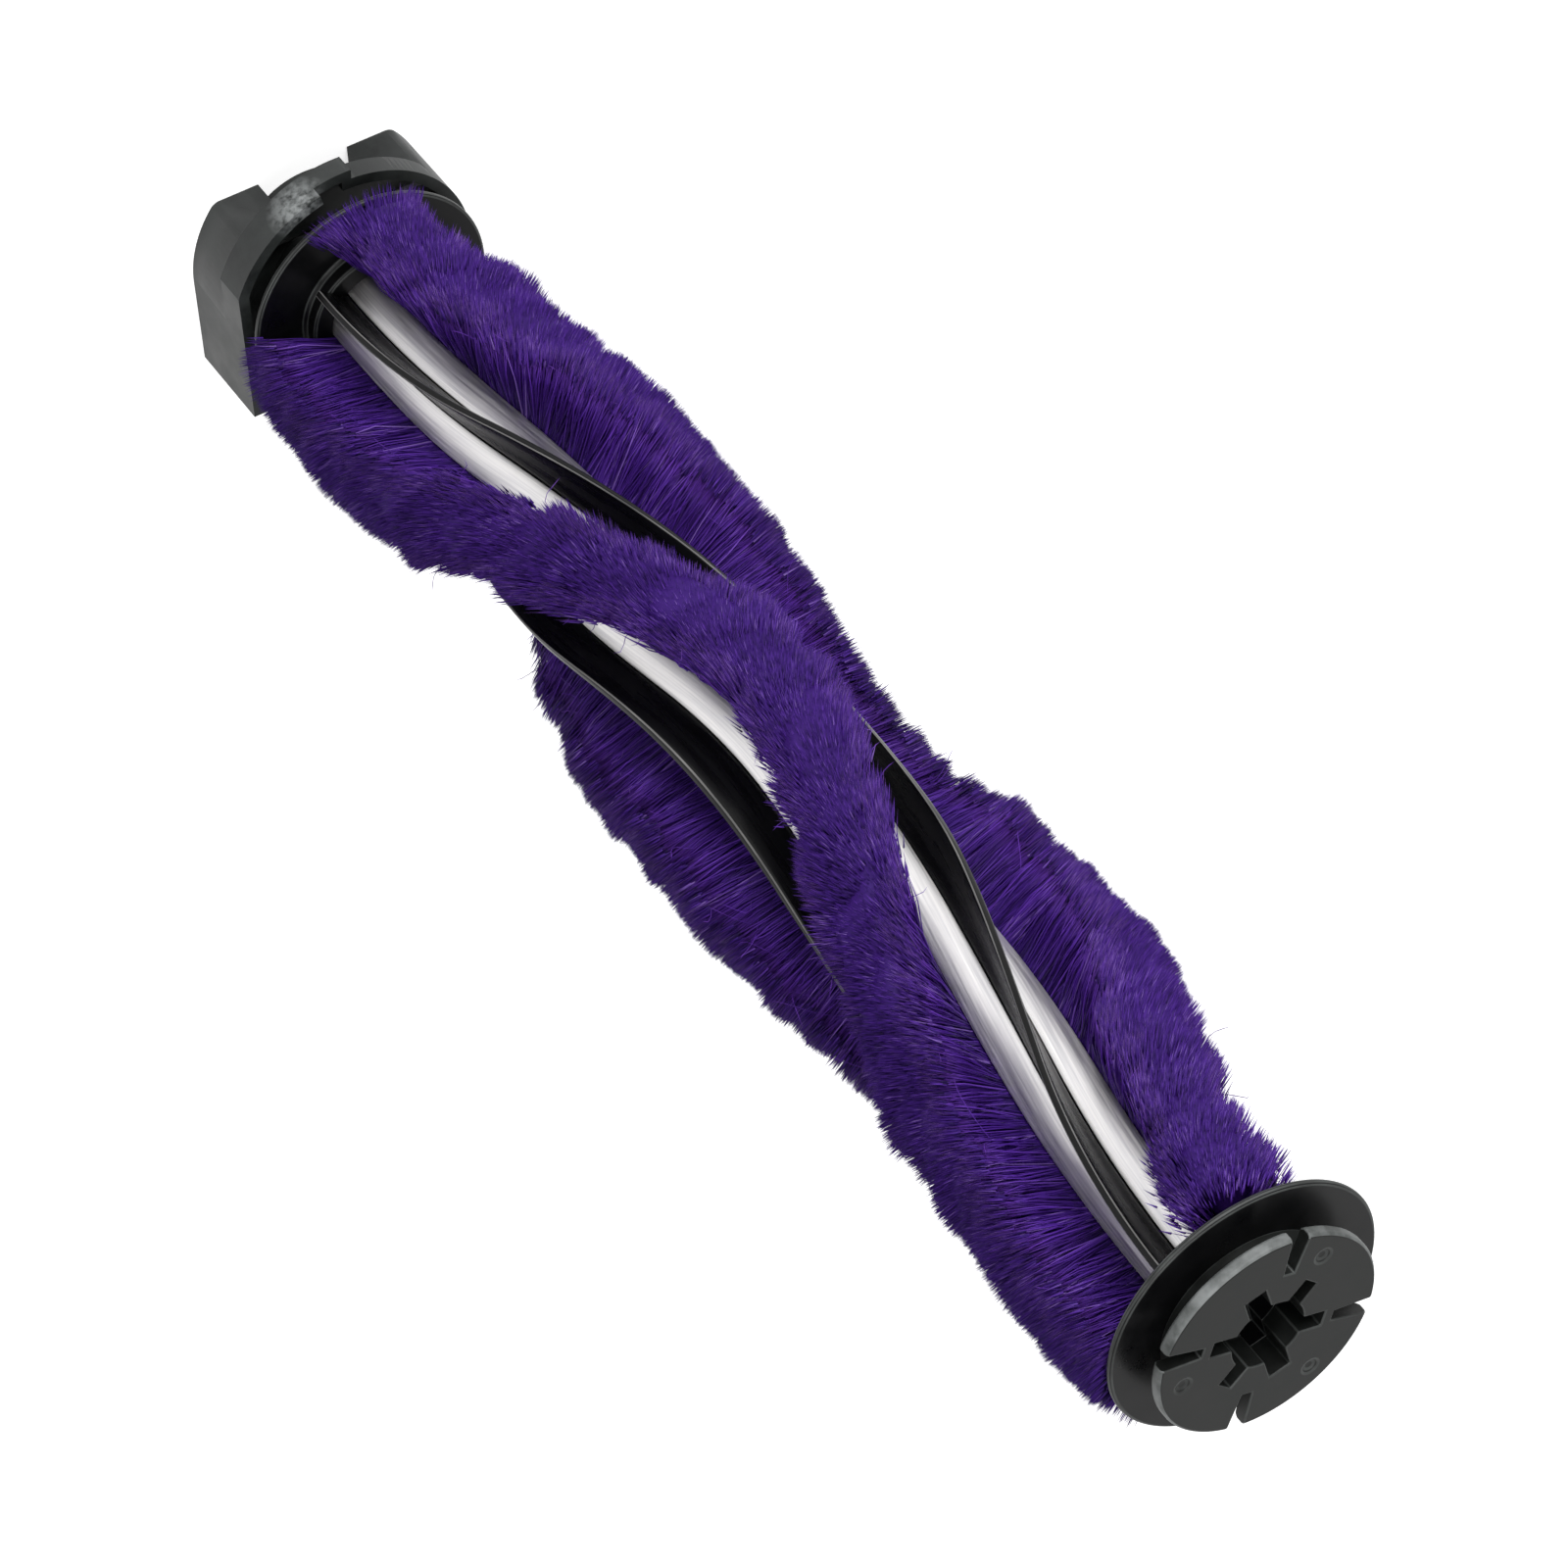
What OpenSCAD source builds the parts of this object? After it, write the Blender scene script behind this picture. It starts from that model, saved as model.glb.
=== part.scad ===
// Soft pile roller brush for a stick vacuum cleaner's floor head.
// The roller stands on the flat back of its bearing block, with the roller axis on +Z
// and the drive coupling on top. +X runs across the block and +Y towards its two horns.
// Lengths are in millimetres, and every radius is a radius, not a diameter.

/* [Twisted core] */
// Length of the slotted aluminium core
core_len = 205.7; // [160:0.1:260]
// Radius of the core over its silver lobes
core_r = 7.6; // [7.4:0.1:9]
// Radius of the bore along the core's middle
core_bore_r = 4.2; // [3.6:0.1:4.4]
// Angle that each slot turns from an end to the bend
twist_angle = 110; // [60:0.5:140]
// Length at each end over which the turn starts softly
ease_end = 36; // [10:1:50]
// Length at the bend over which the turn reverses
ease_bend = 19; // [8:1:30]
// Distance of the bend from mid-length, towards the drive end
bend_offset = 2.4; // [0:0.1:6]
// Thickness of the lips that hold the strips in their slots
slot_lip = 1.0; // [0.8:0.1:1.2]

/* [Pile strips] */
// Radius over the tips of the pile
pile_tip_r = 22; // [19.5:0.1:25]
// Width of the pile where it leaves its slot
pile_root_w = 3.6; // [3:0.1:3.8]
// Width over the splayed tips of the pile
pile_tip_w = 14; // [9:0.5:17]
// Width of the woven backing inside the slot
backing_w = 5.0; // [4.4:0.1:5.2]
// Thickness of the woven backing
backing_t = 1.0; // [0.8:0.1:1.1]

/* [Rubber blades] */
// Radius over the tip of each blade
blade_tip_r = 12.8; // [11:0.1:16]
// Thickness of a blade where it leaves its slot
blade_root_t = 2.0; // [1.6:0.1:2.2]
// Thickness of a blade at its tip
blade_tip_t = 1.0; // [0.7:0.1:1.4]
// Width of the foot that keys a blade into its slot
foot_w = 3.2; // [2.8:0.1:3.4]
// Thickness of that foot
foot_t = 1.0; // [0.8:0.1:1.1]
// Extra length over which a blade's tip rounds the bend
tip_lag = 15; // [0:1:20]

/* [Drive end] */
// Radius of the drive end's flange
drive_flange_r = 19; // [17.5:0.1:21]
// Thickness of the drive end's flange
drive_flange_t = 1.0; // [0.8:0.1:2]
// Radius of the neck between the flange and the coupling disc
neck_r = 12; // [11.5:0.1:13]
// Height of that neck
neck_h = 3.0; // [2:0.1:5]
// Radius of the coupling disc
coupling_r = 15.5; // [15:0.1:17]
// Thickness of the coupling disc
coupling_t = 2.0; // [1.5:0.1:3]
// Radius of the round middle of the star socket
socket_r = 5.1; // [4.5:0.1:5.4]
// Radius over the ends of the socket's six arms
arm_r = 8.3; // [7.6:0.1:8.6]
// Width of the two wide arms
wide_arm_w = 3.0; // [2.6:0.1:3.4]
// Width of the four narrow arms
narrow_arm_w = 2.4; // [2:0.1:2.8]
// Radius at which the four rim notches end
notch_floor_r = 9.7; // [9.3:0.1:10.5]
// Width of a notch at its floor
notch_in_w = 1.5; // [1:0.1:2]
// Width of a notch at the rim
notch_out_w = 2.7; // [2:0.1:3.5]
// Depth of the star socket below the disc's face
socket_depth = 8; // [5.5:0.1:8]

/* [End hubs] */
// Radius of the hubs that the core butts against
hub_r = 10.4; // [9.6:0.1:11.5]
// Height of those hubs
hub_h = 2.5; // [2:0.1:4]
// Length of the plugs that press into the core
plug_len = 14; // [8:0.5:20]

/* [Idle end] */
// Radius of the idle end's flange
idle_flange_r = 18; // [16:0.1:20]
// Thickness of the idle end's flange
idle_flange_t = 1.1; // [0.8:0.1:2]
// Gap between the block's lip and the idle flange
flange_gap = 1.9; // [1:0.1:4]

/* [Ball bearing] */
// Radius of the bearing's bore
bearing_bore_r = 2.5; // [2.2:0.05:2.6]
// Outer radius of the bearing
bearing_outer_r = 8; // [7.9:0.1:8.5]
// Width of the bearing
bearing_w = 5; // [4.6:0.1:5]
// Radius of one ball
ball_r = 1.5; // [1.3:0.05:1.5]
// Thickness of the rubber sleeve round the bearing
sleeve_t = 1.4; // [1:0.1:1.6]

/* [Bearing block] */
// Depth of the block's body, from its back to its front rim
block_depth = 12.8; // [12:0.1:16]
// Height of the raised lip above that rim
lip_rise = 2.0; // [1:0.1:3]
// Depth of the wider ring, measured down from the lip
ring_depth = 5.3; // [4.5:0.1:6]
// Outer radius of the wider ring
ring_r = 20; // [19.4:0.1:20.5]
// Radius of the block's rounded top
block_round_r = 18.5; // [18.5:0.1:19]
// Half of the block's width over its flat sides
block_half_w = 18.5; // [17.5:0.1:18.5]
// Distance from the axis down to the block's flat base
block_base = 14.2; // [13.8:0.1:16]
// Distance from the axis up to the tops of the two horns
horn_top = 12.2; // [11.6:0.1:13]
// Width of the gap between the horns
horn_gap = 14; // [10:0.5:16]
// Wall thickness of the block
wall_t = 1.6; // [1.2:0.1:2]
// Wall behind the axle's end
back_wall = 1.2; // [0.8:0.1:1.6]

/* [Fits] */
// Radial clearance of pressed and seated parts
fit_gap = 0.03; // [0.02:0.01:0.06]
// Radial clearance of parts that turn past each other
run_gap = 0.15; // [0.1:0.01:0.2]
// Clearance round a strip in its slot
slot_gap = 0.1; // [0.05:0.01:0.15]

/* [Hidden] */
eps = 0.01;
far = 60;
$fn = 96;

// Colours, one name for each real material
aluminium_col = "#D6D5D3";
pile_col = "#4A1F96";
backing_col = "#2B1B52";
rubber_col = "#141414";
plastic_col = "#2A2B2B";
steel_col = "#B9BCBF";
brass_col = "#B99A5A";
felt_col = "#6E6A62";

// Heights of the stack above the block's flat back
lip_top = block_depth + lip_rise;
ring_back = lip_top - ring_depth;
idle_flange_z = lip_top + flange_gap;
hub_z = idle_flange_z + idle_flange_t;
core_z0 = hub_z + hub_h;
core_z1 = core_z0 + core_len;
drive_flange_z = core_z1 + hub_h;
neck_z = drive_flange_z + drive_flange_t;
disc_z = neck_z + neck_h;
face_z = disc_z + coupling_t;

// The law of the twist: straight legs, eased at the ends and at the bend
twist_run = core_len / 2;
bend_z = core_z0 + core_len / 2 + bend_offset;
twist_rate = twist_angle / (twist_run - ease_end / 2 - ease_bend / 2);
function eased(d, ease) =
    d <= 0 ? 0
    : d < ease_end ? d * d / (2 * ease_end)
    : d < twist_run - ease ? d - ease_end / 2
    : twist_run - ease_end / 2 - ease / 2 - pow(max(0, twist_run - d), 2) / (2 * ease);
function turn(z, ease) = -twist_rate * eased(twist_run - abs(z - bend_z), ease);
// A point further out than a strip's shoulder rounds the bend over a longer stretch
shoulder_r = core_r + 0.6;
function lag_share(r, tip_r) = r <= shoulder_r ? 0 : min(1, (r - shoulder_r) / (tip_r - shoulder_r));
function turn_at(z, r, tip_r, lag) = turn(z, ease_bend)
    + lag_share(r, tip_r) * (turn(z, ease_bend + lag) - turn(z, ease_bend));

// Places round the roller, as angles from +X at the two ends
strip_count = 3;
strip_pitch = 360 / strip_count;
blade_phase = 137;
pile_phase = blade_phase + strip_pitch / 2;
star_phase = 103;
notch_phase = 73;

// Slots follow the strips that slide into them
pile_mouth_w = pile_root_w + 2 * slot_gap;
pile_cavity_w = backing_w + 2 * slot_gap;
pile_cavity_h = backing_t + 2 * slot_gap;
blade_mouth_w = blade_root_t + 2 * slot_gap;
blade_cavity_w = foot_w + 2 * slot_gap;
blade_cavity_h = foot_t + 2 * slot_gap;
cavity_top_r = core_r - slot_lip;
backing_top_r = cavity_top_r - slot_gap;
strip_end_gap = 0.4;
ring_count = 40;
bore_steps = 8;

// Seats at the two ends of the core
axle_r = bearing_bore_r - fit_gap;
plug_r = core_bore_r - fit_gap;
plug_chamfer = 0.8;
plug_wall = 1.4;
peg_r = 1.2;
peg_len = 2.4;
peg_pitch_r = hub_r - peg_r - 0.7;
gate_pitch_r = (arm_r + coupling_r) / 2 + 0.2;
gate_depth = 0.35;

// Ball bearing
bearing_z = back_wall + 2.2;
bearing_top = bearing_z + bearing_w;
race_r = (bearing_bore_r + bearing_outer_r) / 2;
land = 1.05;
inner_land_r = race_r - land;
outer_land_r = race_r + land;
ball_count = 7;
ball_gap = 0.05;
cage_half_h = 1.9;
cage_wall = 0.55;
shield_t = 0.3;
shield_seat = 0.35;
shield_inset = 0.15;

// Bearing seat inside the block
sleeve_r = bearing_outer_r + fit_gap + sleeve_t;
sleeve_lip = 0.7;
seat_r = sleeve_r + fit_gap;
seat_z = bearing_z - sleeve_lip - fit_gap;
well_r = bearing_outer_r - 1;
boss_r = seat_r + wall_t;
cup_floor = bearing_top + 0.5;
felt_t = 1.4;
felt_z = bearing_top + sleeve_lip + 0.1;
boss_top = felt_z + felt_t;
spigot_r = inner_land_r - 0.1;
floor_z = cup_floor - wall_t;

function polar(r, a) = [r * cos(a), r * sin(a)];
function turned(p, a) = [p[0] * cos(a) - p[1] * sin(a), p[0] * sin(a) + p[1] * cos(a)];
function half_angle(w, r) = asin(w / 2 / r);

// Rings of an outline swept up the roller. The outline's +X is the strip's own outward
// direction, and each ring is turned by the law of the twist.
function ring_points(outline, z0, z1, phase, tip_r, lag) =
    [for (k = [0:ring_count]) let (z = z0 + (z1 - z0) * k / ring_count)
        for (p = outline) let (q = turned(p, phase + turn_at(z, norm(p), tip_r, lag)))
            [q[0], q[1], z]];
// Each quad is split along the same diagonal on a strip and on the slot that it lies in
function side_faces(outline) = let (count = len(outline))
    [for (k = [0:ring_count - 1]) for (i = [0:count - 1])
        let (a = k * count, b = a + count, j = (i + 1) % count)
        each cross(outline[i], outline[j]) < 0
            ? [[a + i, b + i, a + j], [b + i, b + j, a + j]]
            : [[a + i, b + i, b + j], [a + i, b + j, a + j]]];

// A solid strip that follows the twist
module twisted(outline, z0, z1, phase, tip_r, lag) {
    count = len(outline);
    bottom = [[for (i = [0:count - 1]) i]];
    top = [[for (i = [0:count - 1]) ring_count * count + count - 1 - i]];
    polyhedron(points = ring_points(outline, z0, z1, phase, tip_r, lag),
        faces = concat(bottom, side_faces(outline), top), convexity = 8);
}

// One T-slot of the core, from its right lip round the cavity to its left lip
function slot_outline(mouth_w, cavity_w, cavity_h) = [
    polar(core_r, -half_angle(mouth_w, core_r)),
    [cavity_top_r, -mouth_w / 2],
    [cavity_top_r, -cavity_w / 2],
    [cavity_top_r - cavity_h, -cavity_w / 2],
    [cavity_top_r - cavity_h, cavity_w / 2],
    [cavity_top_r, cavity_w / 2],
    [cavity_top_r, mouth_w / 2],
    polar(core_r, half_angle(mouth_w, core_r))];
function at_angle(outline, a) = [for (p = outline) turned(p, a)];
// One sixth of the core's outline: a slot with half a lobe on each side of it
function sixth_outline(slot, half) = concat([polar(core_r, -30), polar(core_r, -(30 + half) / 2)],
    slot, [polar(core_r, (30 + half) / 2)]);
function core_outline() =
    let (pile_sixth = sixth_outline(slot_outline(pile_mouth_w, pile_cavity_w, pile_cavity_h),
            half_angle(pile_mouth_w, core_r)),
        blade_sixth = sixth_outline(slot_outline(blade_mouth_w, blade_cavity_w, blade_cavity_h),
            half_angle(blade_mouth_w, core_r)))
    [for (k = [0:2 * strip_count - 1]) each at_angle(k % 2 == 0 ? blade_sixth : pile_sixth, 60 * k)];

// The extruded core is a tube: its outer side turns and its bore is straight
module core_tube() {
    outline = core_outline();
    count = len(outline);
    sixth = count / 6;
    bore_count = 6 * bore_steps;
    bore_start = (ring_count + 1) * count;
    bore = [for (i = [0:bore_count - 1]) polar(core_bore_r, blade_phase - 30 + 360 * i / bore_count)];
    points = concat(ring_points(outline, core_z0, core_z1, blade_phase, core_r, 0),
        [for (z = [core_z0, core_z1]) for (p = bore) [p[0], p[1], z]]);
    bore_faces = [for (i = [0:bore_count - 1]) let (a = bore_start + i, b = bore_start + (i + 1) % bore_count)
        each [[a, b, b + bore_count], [a, b + bore_count, a + bore_count]]];
    // Each end is six faces, one for each sixth, between the outline and the bore
    ends = [for (k = [0:5]) concat([for (i = [0:sixth]) (k * sixth + i) % count],
        [for (i = [bore_steps:-1:0]) bore_start + (k * bore_steps + i) % bore_count])];
    tops = [for (face = ends) [for (i = [len(face) - 1:-1:0])
        face[i] < bore_start ? face[i] + ring_count * count : face[i] + bore_count]];
    color(aluminium_col) polyhedron(points = points,
        faces = concat(side_faces(outline), bore_faces, ends, tops), convexity = 8);
}

// The pile leaves its slot as a narrow bundle and splays to a rounded brush
function pile_outline() = let (root = backing_top_r, rise = pile_tip_r - core_r, half = pile_tip_w / 2)
    [[root, -pile_root_w / 2], [core_r, -pile_root_w / 2],
    [core_r + 0.45 * rise, -(0.5 * pile_root_w / 2 + 0.5 * half)],
    [core_r + 0.8 * rise, -half], [core_r + 0.93 * rise, -0.9 * half],
    [pile_tip_r * cos(0.5 * asin(half / pile_tip_r)), -0.5 * half], [pile_tip_r, 0],
    [pile_tip_r * cos(0.5 * asin(half / pile_tip_r)), 0.5 * half],
    [core_r + 0.93 * rise, 0.9 * half], [core_r + 0.8 * rise, half],
    [core_r + 0.45 * rise, 0.5 * pile_root_w / 2 + 0.5 * half],
    [core_r, pile_root_w / 2], [root, pile_root_w / 2]];

module pile_strip(k) {
    color(pile_col) twisted(pile_outline(), core_z0 + strip_end_gap, core_z1 - strip_end_gap,
        pile_phase + k * strip_pitch, pile_tip_r, tip_lag / 2);
}

// The backing has points where the pile's root meets it, so that the two faces agree
module backing_strip(k) {
    top = backing_top_r;
    color(backing_col) twisted(
        [[top - backing_t, -backing_w / 2], [top, -backing_w / 2], [top, -pile_root_w / 2],
        [top, pile_root_w / 2], [top, backing_w / 2], [top - backing_t, backing_w / 2]],
        core_z0 + strip_end_gap, core_z1 - strip_end_gap, pile_phase + k * strip_pitch, core_r, 0);
}

// A blade is one extrusion: the foot in the slot, the neck between the lips and the fin
function blade_outline() = let (top = cavity_top_r - slot_gap)
    [[top - foot_t, -foot_w / 2], [top, -foot_w / 2], [top, -blade_root_t / 2],
    [shoulder_r, -blade_root_t / 2], [blade_tip_r - 0.3, -blade_tip_t / 2], [blade_tip_r, -blade_tip_t / 4],
    [blade_tip_r, blade_tip_t / 4], [blade_tip_r - 0.3, blade_tip_t / 2], [shoulder_r, blade_root_t / 2],
    [top, blade_root_t / 2], [top, foot_w / 2], [top - foot_t, foot_w / 2]];

module rubber_blade(k) {
    color(rubber_col) twisted(blade_outline(), core_z0 + strip_end_gap, core_z1 - strip_end_gap,
        blade_phase + k * strip_pitch, blade_tip_r, tip_lag);
}

module plug(z0, z1) {
    translate([0, 0, z0]) cylinder(r = plug_r, h = z1 - z0);
}

// Flange, hub and plug, with the lower end of the socket and holes for the coupling's pegs
module drive_cap() {
    edge = 0.3;
    color(plastic_col) difference() {
        union() {
            rotate_extrude() polygon([[0, core_z1], [hub_r - edge, core_z1], [hub_r, core_z1 + edge],
                [hub_r, drive_flange_z - 0.5], [hub_r + 0.5, drive_flange_z], [drive_flange_r - edge, drive_flange_z],
                [drive_flange_r, drive_flange_z + edge], [drive_flange_r, neck_z - edge],
                [drive_flange_r - edge, neck_z], [0, neck_z]]);
            translate([0, 0, core_z1 - plug_len]) cylinder(r1 = plug_r - plug_chamfer, r2 = plug_r, h = plug_chamfer);
            plug(core_z1 - plug_len + plug_chamfer, core_z1 + eps);
        }
        for (k = [0:2]) rotate(star_phase + 30 + 120 * k)
            translate([peg_pitch_r, 0, neck_z - peg_len - 0.1]) cylinder(r = peg_r + fit_gap, h = far, $fn = 32);
        translate([0, 0, face_z - socket_depth]) linear_extrude(far) star_plan();
        translate([0, 0, core_z1 - plug_len - 1]) cylinder(r = plug_r - plug_wall, h = plug_len);
    }
}

// Plan of the star: a round middle with two wide arms and four narrow ones
module star_plan() {
    circle(r = socket_r);
    for (k = [0:5]) let (w = k % 3 == 0 ? wide_arm_w : narrow_arm_w)
        rotate(star_phase + 60 * k) translate([0, -w / 2]) square([arm_r, w]);
}

module notch_plan() {
    for (k = [0:3]) rotate(notch_phase + 90 * k)
        polygon([[notch_floor_r, -notch_in_w / 2], [coupling_r + 1, -notch_out_w / 2],
            [coupling_r + 1, notch_out_w / 2], [notch_floor_r, notch_in_w / 2]]);
}

// Three shallow gate dimples, where the plastic entered the mould
module gate_dimples() {
    for (a = [51, -59, -174]) rotate(a) translate([gate_pitch_r, 0, face_z - gate_depth])
        cylinder(r1 = 0.7, r2 = 1.2, h = gate_depth + eps, $fn = 32);
}

module drive_coupling() {
    round_r = 0.5;
    color(plastic_col) difference() {
        union() {
            rotate_extrude() polygon([[0, neck_z], [neck_r, neck_z], [neck_r, disc_z + eps], [coupling_r - round_r, disc_z],
                [coupling_r, disc_z + round_r], [coupling_r, face_z - round_r],
                [coupling_r - 0.3 * round_r, face_z - 0.3 * round_r], [coupling_r - round_r, face_z], [0, face_z]]);
            for (k = [0:2]) rotate(star_phase + 30 + 120 * k)
                translate([peg_pitch_r, 0, neck_z - peg_len]) cylinder(r = peg_r, h = peg_len + eps, $fn = 32);
        }
        translate([0, 0, neck_z - 1]) linear_extrude(face_z - neck_z + 2) star_plan();
        translate([0, 0, disc_z]) linear_extrude(coupling_t + 1) notch_plan();
        gate_dimples();
    }
}

// Flange, hub under the core, plug, and the spigot that meets the bearing's inner ring
module idle_cap() {
    spigot_end = bearing_top + fit_gap;
    color(plastic_col) difference() {
        union() {
            rotate_extrude() polygon([[0, spigot_end], [spigot_r, spigot_end], [spigot_r, idle_flange_z - 1],
                [spigot_r + 2, idle_flange_z], [idle_flange_r - 0.3, idle_flange_z],
                [idle_flange_r, idle_flange_z + 0.3], [idle_flange_r, hub_z - 0.3], [idle_flange_r - 0.3, hub_z],
                [hub_r + 0.5, hub_z], [hub_r, hub_z + 0.5], [hub_r, core_z0 - 0.3], [hub_r - 0.3, core_z0], [0, core_z0]]);
            plug(core_z0 - eps, core_z0 + plug_len - plug_chamfer);
            translate([0, 0, core_z0 + plug_len - plug_chamfer]) cylinder(r1 = plug_r, r2 = plug_r - plug_chamfer, h = plug_chamfer);
        }
        translate([0, 0, spigot_end - 1]) cylinder(r = axle_r + fit_gap, h = far);
    }
}

module stub_axle() {
    z0 = back_wall + 0.6;
    z1 = core_z0 + plug_len - 2;
    color(steel_col) rotate_extrude() polygon([[0, z0], [axle_r - 0.4, z0], [axle_r, z0 + 0.4],
        [axle_r, z1 - 0.4], [axle_r - 0.4, z1], [0, z1]]);
}

// Push-on clip that keeps the bearing on the axle
module retaining_clip() {
    clip_t = 0.5;
    color(steel_col) translate([0, 0, bearing_z - fit_gap - clip_t]) difference() {
        cylinder(r = inner_land_r - 0.1, h = clip_t);
        translate([0, 0, -1]) cylinder(r = axle_r + fit_gap, h = clip_t + 2);
        for (k = [0:2]) rotate(120 * k) translate([axle_r + 0.2, -0.35, -1]) cube([0.8, 0.7, clip_t + 2]);
    }
}

module race_groove() {
    translate([0, 0, bearing_z + bearing_w / 2]) rotate_extrude() translate([race_r, 0]) circle(r = ball_r + ball_gap, $fn = 48);
}

module bearing_inner_ring() {
    color(steel_col) difference() {
        translate([0, 0, bearing_z]) cylinder(r = inner_land_r, h = bearing_w);
        translate([0, 0, bearing_z - 1]) cylinder(r = bearing_bore_r, h = bearing_w + 2);
        race_groove();
    }
}

module bearing_outer_ring() {
    seat = shield_inset + shield_t + 0.05;
    color(steel_col) difference() {
        translate([0, 0, bearing_z]) cylinder(r = bearing_outer_r, h = bearing_w);
        translate([0, 0, bearing_z - 1]) cylinder(r = outer_land_r, h = bearing_w + 2);
        translate([0, 0, bearing_z - 1]) cylinder(r = outer_land_r + shield_seat, h = 1 + seat);
        translate([0, 0, bearing_top - seat]) cylinder(r = outer_land_r + shield_seat, h = 1 + seat);
        race_groove();
    }
}

// Pressed ribbon cage with one round pocket for each ball
module bearing_cage() {
    color(brass_col) translate([0, 0, bearing_z + bearing_w / 2]) difference() {
        cylinder(r = race_r + cage_wall, h = 2 * cage_half_h, center = true);
        cylinder(r = race_r - cage_wall, h = 2 * cage_half_h + 2, center = true);
        for (k = [0:ball_count - 1]) rotate(360 / ball_count * k)
            translate([race_r, 0, 0]) rotate([0, 90, 0]) cylinder(r = ball_r + ball_gap, h = 3, center = true, $fn = 48);
    }
}

module bearing_balls() {
    color(steel_col) for (k = [0:ball_count - 1]) rotate(360 / ball_count * k)
        translate([race_r, 0, bearing_z + bearing_w / 2]) sphere(r = ball_r, $fn = 32);
}

module bearing_shield(z) {
    color(steel_col) translate([0, 0, z]) difference() {
        cylinder(r = outer_land_r + shield_seat - fit_gap, h = shield_t);
        translate([0, 0, -1]) cylinder(r = inner_land_r + run_gap, h = shield_t + 2);
    }
}

// Rubber sleeve that carries the bearing and hushes it, with a lip over the outer ring
module bearing_sleeve() {
    color(rubber_col) rotate_extrude() polygon([
        [bearing_outer_r + fit_gap, bearing_z - sleeve_lip], [sleeve_r, bearing_z - sleeve_lip],
        [sleeve_r, bearing_top + sleeve_lip], [outer_land_r + shield_seat + 0.2, bearing_top + sleeve_lip],
        [outer_land_r + shield_seat + 0.2, bearing_top + fit_gap], [bearing_outer_r + fit_gap, bearing_top + fit_gap]]);
}

// Felt ring that keeps hair and dust out of the bearing
module felt_washer() {
    color(felt_col) translate([0, 0, felt_z]) difference() {
        cylinder(r = sleeve_r, h = felt_t - 0.1);
        translate([0, 0, -1]) cylinder(r = spigot_r + run_gap, h = felt_t + 2);
    }
}

// Flat-sided arch: round top, flat sides and a flat base
module arch_plan(r, half_w, base) {
    intersection() {
        translate([-half_w, -base]) square([2 * half_w, base + r]);
        union() {
            circle(r = r, $fn = 160);
            translate([-half_w, -base]) square([2 * half_w, base]);
        }
    }
}

// Wedge of the plane between two angles less than 180 degrees apart
module wedge_plan(a0, a1) {
    polygon([[0, 0], far * polar(1, a0), far * polar(1, (a0 + a1) / 2), far * polar(1, a1)]);
}

// The wider ring covers the -X side and the top. Its lip stops short of the top.
ring_from = 86;
lip_from = 103;
ring_end_turn = 2 * asin(wall_t / ring_r / 2);
module wide_side(a0) {
    wedge_plan(a0, 180);
    wedge_plan(180 - eps, 270);
}

module cup_plan() {
    arch_plan(block_round_r - wall_t, block_half_w - wall_t, block_base - wall_t);
    intersection() {
        arch_plan(ring_r - wall_t, block_half_w - wall_t, block_base - wall_t);
        wide_side(ring_from + ring_end_turn);
    }
}

module back_pockets_plan() {
    inner_gap = horn_gap / 2 + wall_t;
    difference() {
        intersection() {
            arch_plan(block_round_r - wall_t, block_half_w - wall_t, block_base - wall_t);
            translate([-far, -far]) square([2 * far, far + horn_top - wall_t]);
        }
        circle(r = boss_r);
        translate([-inner_gap, 0]) square([2 * inner_gap, far]);
        translate([-far, -wall_t / 2]) square([2 * far, wall_t]);
        for (a = [225, 315]) rotate(a) translate([0, -wall_t / 2]) square([far, wall_t]);
    }
}

module bearing_block() {
    color(plastic_col) difference() {
        union() {
            linear_extrude(ring_back) intersection() {
                arch_plan(block_round_r, block_half_w, block_base);
                translate([-far, -far]) square([2 * far, far + horn_top]);
            }
            translate([0, 0, ring_back - eps]) linear_extrude(block_depth - ring_back + eps)
                arch_plan(block_round_r, block_half_w, block_base);
            translate([0, 0, ring_back - eps]) linear_extrude(block_depth - ring_back + eps) intersection() {
                arch_plan(ring_r, block_half_w, block_base);
                wide_side(ring_from);
            }
            translate([0, 0, block_depth - eps]) linear_extrude(lip_rise + eps) intersection() {
                arch_plan(ring_r, block_half_w, block_base);
                wide_side(lip_from);
            }
        }
        // The cup that faces the roller, round the boss of the bearing seat. Behind the
        // ring's top it is shallow, because there the block's back is cut down to the horns.
        difference() {
            union() {
                translate([0, 0, cup_floor]) linear_extrude(far) intersection() {
                    cup_plan();
                    translate([-far, -far]) square([2 * far, far + horn_top - wall_t]);
                }
                translate([0, 0, ring_back + wall_t]) linear_extrude(far) cup_plan();
            }
            translate([0, 0, cup_floor - 1]) cylinder(r = boss_r, h = boss_top - cup_floor + 1);
        }
        // The bearing seat, open towards the roller, and the well for the axle's end below it
        translate([0, 0, seat_z]) cylinder(r = seat_r, h = far);
        translate([0, 0, back_wall]) cylinder(r = well_r, h = far);
        // Pockets behind the cup's floor, open at the back
        translate([0, 0, -1]) linear_extrude(floor_z + 1) back_pockets_plan();
        // The valley between the horns, down to the boss
        translate([0, 0, -1]) linear_extrude(ring_back + 1) difference() {
            translate([-horn_gap / 2, 0]) square([horn_gap, far]);
            circle(r = boss_r);
        }
    }
}

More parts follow.
